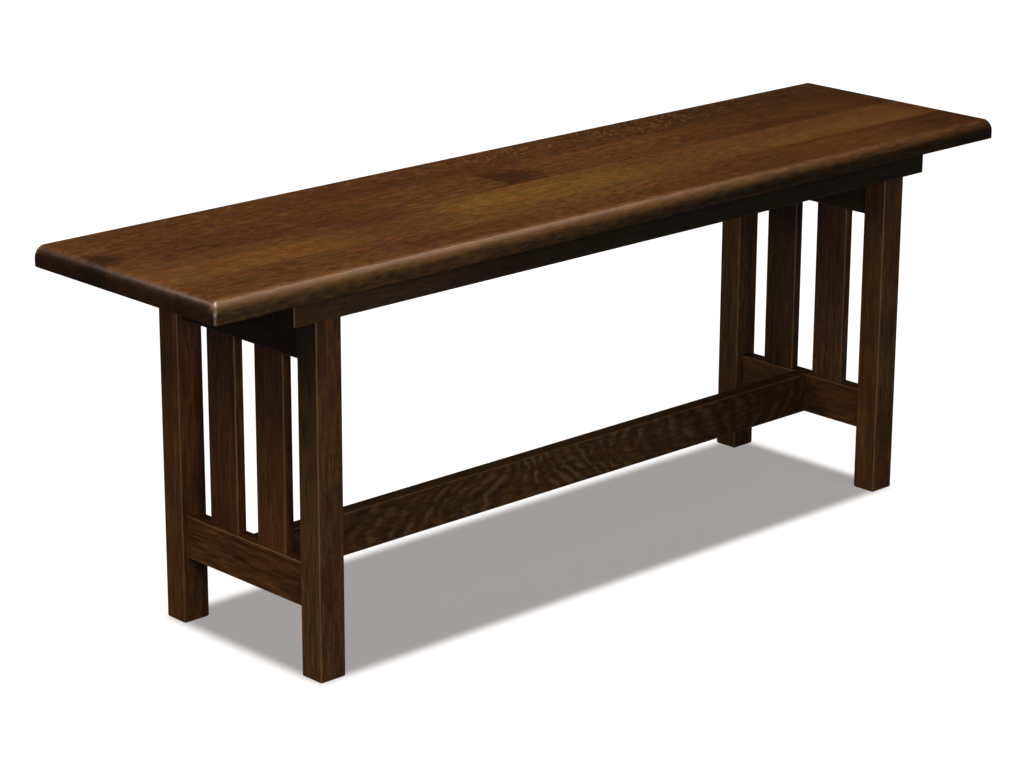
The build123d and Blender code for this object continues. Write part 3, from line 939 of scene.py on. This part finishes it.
def seen_share(w, camera, mirrored, bounced):
    """How bright a surrounding is to the camera or through glass, in a mirror, and as bounced light."""
    path = w.add("ShaderNodeLightPath").outputs
    direct = w.math("MAXIMUM", path["Is Camera Ray"], path["Is Transmission Ray"])
    seen = w.plus(w.times(direct, camera), w.times(path["Is Glossy Ray"], mirrored))
    other = w.minus(1.0, w.plus(direct, path["Is Glossy Ray"]), clamp=True)
    return w.plus(seen, w.times(other, bounced))


def floor_material(studio):
    """Matt white paper with a painted shadow between the legs: bright to the camera, dim in the bench's lacquer, clear
    from below to show the underside.
    """
    material, w = new_material("Studio paper")
    place = w.add("ShaderNodeTexCoord").outputs["Object"]
    tooth = w.noise(w.scaled(place, 220.0), detail=3.0)
    colour = w.scaled(w.join(*studio.floor), w.fade(tooth, 0.0, 1.0, 0.985, 1.0))
    # Painted shadow: a soft rectangle between the legs, darker and a little warmer
    shade = w.times(*(w.fade(w.math("ABSOLUTE", coordinate), reach + SHADE_BORDER, reach - SHADE_BORDER)
                      for coordinate, reach in zip(w.split(place), (LEG_REACH.x, LEG_REACH.y))))
    open_floor = w.plus(1.0, w.times(shade, studio.shade - 1.0))
    colour = w.blend(shade, colour, w.vector("MULTIPLY", colour, (1.0, 0.965, 0.960)))
    lit = w.scaled(colour, seen_share(w, camera=1.0, mirrored=0.0, bounced=0.0))
    paper = w.add("ShaderNodeBsdfDiffuse", {"Color": lit, "Roughness": 1.0})
    strength = w.times(open_floor, seen_share(w, camera=1.29, mirrored=0.06, bounced=0.16))
    glow = w.add("ShaderNodeEmission", {"Color": colour, "Strength": strength})
    both = w.add("ShaderNodeAddShader", {0: paper.outputs[0], 1: glow.outputs[0]})
    below = w.add("ShaderNodeNewGeometry").outputs["Backfacing"]
    clear = w.add("ShaderNodeBsdfTransparent").outputs[0]
    w.surface(w.add("ShaderNodeMixShader", {0: below, 1: both.outputs[0], 2: clear}))
    return material


def lay_floor(studio):
    mesh = bpy.data.meshes.new("studio_floor")
    sheet = bmesh.new()
    bmesh.ops.create_grid(sheet, x_segments=2, y_segments=2, size=FLOOR_HALF)
    bmesh.ops.translate(sheet, verts=sheet.verts, vec=(0.0, 0.0, -FLOOR_DROP))
    sheet.to_mesh(mesh)
    sheet.free()
    mesh.materials.append(floor_material(studio))
    floor = bpy.data.objects.new("studio_floor", mesh)
    bpy.context.scene.collection.objects.link(floor)
    return floor


class BENCH_OT_studio(bpy.types.Operator):
    """Lay the pale floor, hang the lamps and set the camera"""

    bl_idname = "bench.studio"
    bl_label = "Studio"

    def execute(self, context):
        scene = context.scene
        studio = scene.bench_studio
        floor = lay_floor(studio)

        scene.world = bpy.data.worlds.new("Studio")
        scene.world.use_nodes = True
        w = Wiring(scene.world.node_tree)
        strength = seen_share(w, camera=1.0, mirrored=0.01, bounced=0.04)
        air = w.add("ShaderNodeBackground", {"Color": (1.0, 1.0, 1.0, 1.0), "Strength": strength})
        w.add("ShaderNodeOutputWorld", {"Surface": air.outputs[0]})

        only_floor = light_group("Only the floor", floor, "INCLUDE")
        not_floor = light_group("All but the floor", floor, "EXCLUDE")
        for lamp in studio_lamps():
            hang(lamp, studio.lamp_level, only_floor if lamp.on_floor else not_floor)

        camera = bpy.data.objects.new("Bench camera", bpy.data.cameras.new("Bench camera"))
        camera.data.lens = studio.lens
        camera.data.sensor_width = 36.0
        camera.data.clip_end = 60.0
        camera.matrix_world = (Matrix.Translation(EYE) @ Matrix.Rotation(EYE_TURN, 4, "Z")
                               @ Matrix.Rotation(math.radians(90) - EYE_TILT, 4, "X")
                               @ Matrix.Rotation(EYE_ROLL, 4, "Z"))
        scene.collection.objects.link(camera)
        scene.camera = camera
        scene.view_settings.view_transform = "Standard"
        return {"FINISHED"}


# ---- Sidebar and registration ----
OPERATORS = (BENCH_OT_seat, BENCH_OT_base, BENCH_OT_slats, BENCH_OT_screws, BENCH_OT_dowels, BENCH_OT_studio)
GROUPS = {"bench_finish": BenchFinish, "bench_parts": BenchParts, "bench_studio": BenchStudio}


class BENCH_PT_sidebar(bpy.types.Panel):
    bl_idname = "BENCH_PT_sidebar"
    bl_label = "Mission Bench"
    bl_space_type = "VIEW_3D"
    bl_region_type = "UI"
    bl_category = "Bench"

    def draw(self, context):
        for group, kind in GROUPS.items():
            for label in kind.__annotations__:
                self.layout.prop(getattr(context.scene, group), label)
        for operator in OPERATORS:
            self.layout.operator(operator.bl_idname)


CLASSES = (*GROUPS.values(), *OPERATORS, BENCH_PT_sidebar)


def register():
    for kind in CLASSES:
        bpy.utils.register_class(kind)
    for name, kind in GROUPS.items():
        setattr(bpy.types.Scene, name, PointerProperty(type=kind))


def unregister():
    for name in GROUPS:
        delattr(bpy.types.Scene, name)
    for kind in reversed(CLASSES):
        bpy.utils.unregister_class(kind)


def main():
    register()
    bpy.ops.bench.seat()
    bpy.ops.bench.base()
    bpy.ops.bench.slats()
    bpy.ops.bench.screws()
    bpy.ops.bench.dowels()
    bpy.ops.bench.studio()


if __name__ == "__main__":
    main()
